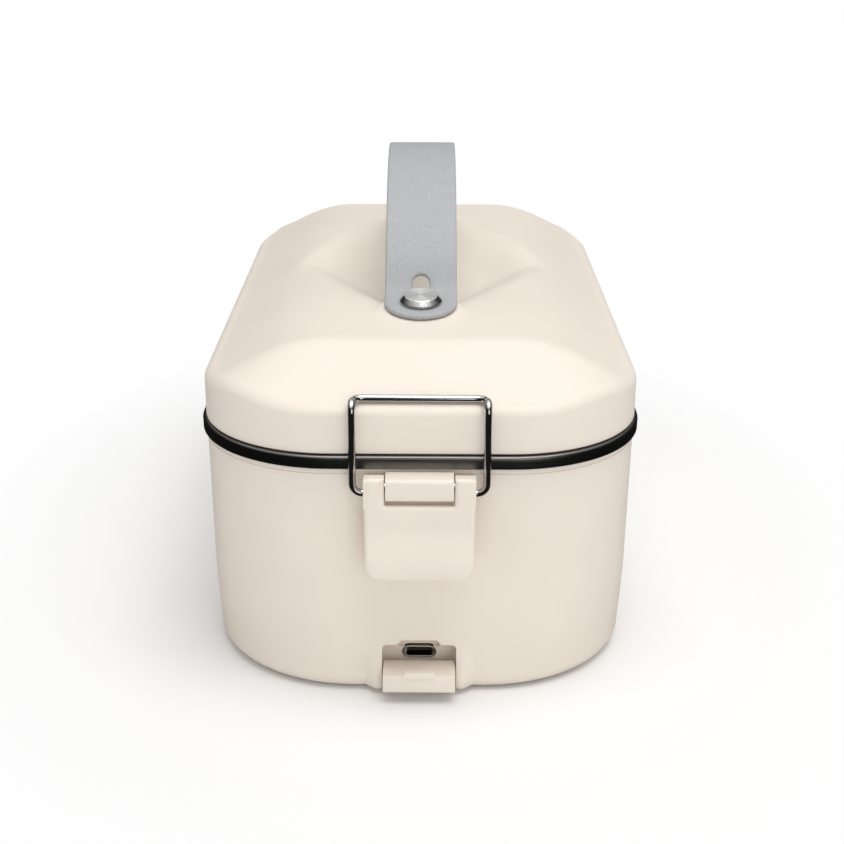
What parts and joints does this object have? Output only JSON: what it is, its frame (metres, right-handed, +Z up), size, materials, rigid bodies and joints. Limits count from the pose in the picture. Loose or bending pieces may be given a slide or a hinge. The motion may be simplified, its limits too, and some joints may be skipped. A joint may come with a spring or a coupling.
{
  "type": "electric lunch box",
  "caption": "Rechargeable heated lunch box with a hinged lid, steel food tray, wire latch, slotted carrying strap and a charging port door.",
  "frame": {"origin": "on the table, under the middle of the body", "axes": "+X to the right, +Y to the back, +Z up; the latch is at -Y"},
  "size_m": [0.124, 0.2392, 0.1344],
  "materials": {
    "cream_plastic": "satin moulded ABS",
    "inner_plastic": "satin moulded PP",
    "tray_steel": "brushed stainless",
    "zinc_steel": "zinc plated",
    "wire_steel": "polished stainless wire",
    "strap_silicone": "matte fine-grained silicone",
    "seal_silicone": "matte silicone",
    "foot_rubber": "matte rubber",
    "heater_aluminium": "rolled sheet",
    "heating_film": "silicone film",
    "insulation": "glass felt",
    "sensor_epoxy": "epoxy bead",
    "fuse_case": "plated case",
    "cell_wrap": "shrink sleeve",
    "holder_plastic": "moulded",
    "nickel": "nickel strip",
    "circuit_board": "solder resist",
    "black_plastic": "moulded",
    "wire_cover": "silicone insulation"
  },
  "bodies": {
    "base": {"base_shell": "cream_plastic", "bottom_cover": "cream_plastic", "rubber_feet": "foot_rubber", "cover_screws": "zinc_steel", "well_liner": "inner_plastic", "heater_plate": "heater_aluminium", "heating_film": "heating_film", "insulation_pad": "insulation", "temperature_sensor": "sensor_epoxy", "thermal_fuse": "fuse_case", "battery_cells": "cell_wrap", "battery_holder": "holder_plastic", "cell_tabs": "nickel", "main_board": "circuit_board", "board_parts": "black_plastic", "usb_shell": "nickel", "usb_tongue": "black_plastic", "heater_wires": "wire_cover", "button_switch": "black_plastic", "button_board": "circuit_board", "food_tray": "tray_steel", "tray_gasket": "seal_silicone", "latch_bracket": "cream_plastic", "bracket_screws": "zinc_steel", "lever_pin": "zinc_steel", "door_pin": "zinc_steel", "base_hinge": "cream_plastic", "hinge_pin": "zinc_steel", "hinge_screws": "zinc_steel"},
    "lid": {"lid_shell": "cream_plastic", "lid_liner": "inner_plastic", "lid_seal": "seal_silicone", "lid_screws": "zinc_steel", "strap_studs": "tray_steel", "stud_nuts": "zinc_steel"},
    "strap": {"strap_crown": "strap_silicone", "strap_front_end": "strap_silicone", "strap_rear_end": "strap_silicone"},
    "lever": {"latch_lever": "cream_plastic"},
    "bail": {"bail_wire": "wire_steel"},
    "door": {"port_door": "cream_plastic"},
    "button": {"power_button": "cream_plastic"}
  },
  "joints": [
    {"name": "lid_hinge", "type": "hinge", "parent": "base", "child": "lid", "pos_m": [0, 0.11645, 0.07], "axis": [-1, 0, 0], "range_deg": [0, 105]},
    {"name": "strap_press", "type": "slide", "parent": "lid", "child": "strap", "axis": [0, 0, -1], "range_m": [0, 0.026], "stiffness_N_per_m": 150, "deforming": ["strap_front_end", "strap_rear_end"]},
    {"name": "lever_pivot", "type": "hinge", "parent": "base", "child": "lever", "pos_m": [0, -0.1136, 0.0643], "axis": [-1, 0, 0], "range_deg": [0, 90]},
    {"name": "bail_pivot", "type": "hinge", "parent": "lever", "child": "bail", "pos_m": [0, -0.1122, 0.062], "axis": [1, 0, 0], "range_deg": [0, 165]},
    {"name": "door_hinge", "type": "hinge", "parent": "base", "child": "door", "pos_m": [0, -0.107, 0.0052], "axis": [-1, 0, 0], "range_deg": [0, 90]},
    {"name": "button_press", "type": "slide", "parent": "base", "child": "button", "axis": [-1, 0, 0], "range_m": [0, 0.0008], "stiffness_N_per_m": 800}
  ],
  "couplings": [
    {"joint": "bail_pivot", "follows": "lever_pivot", "ratio": 1.8}
  ]
}
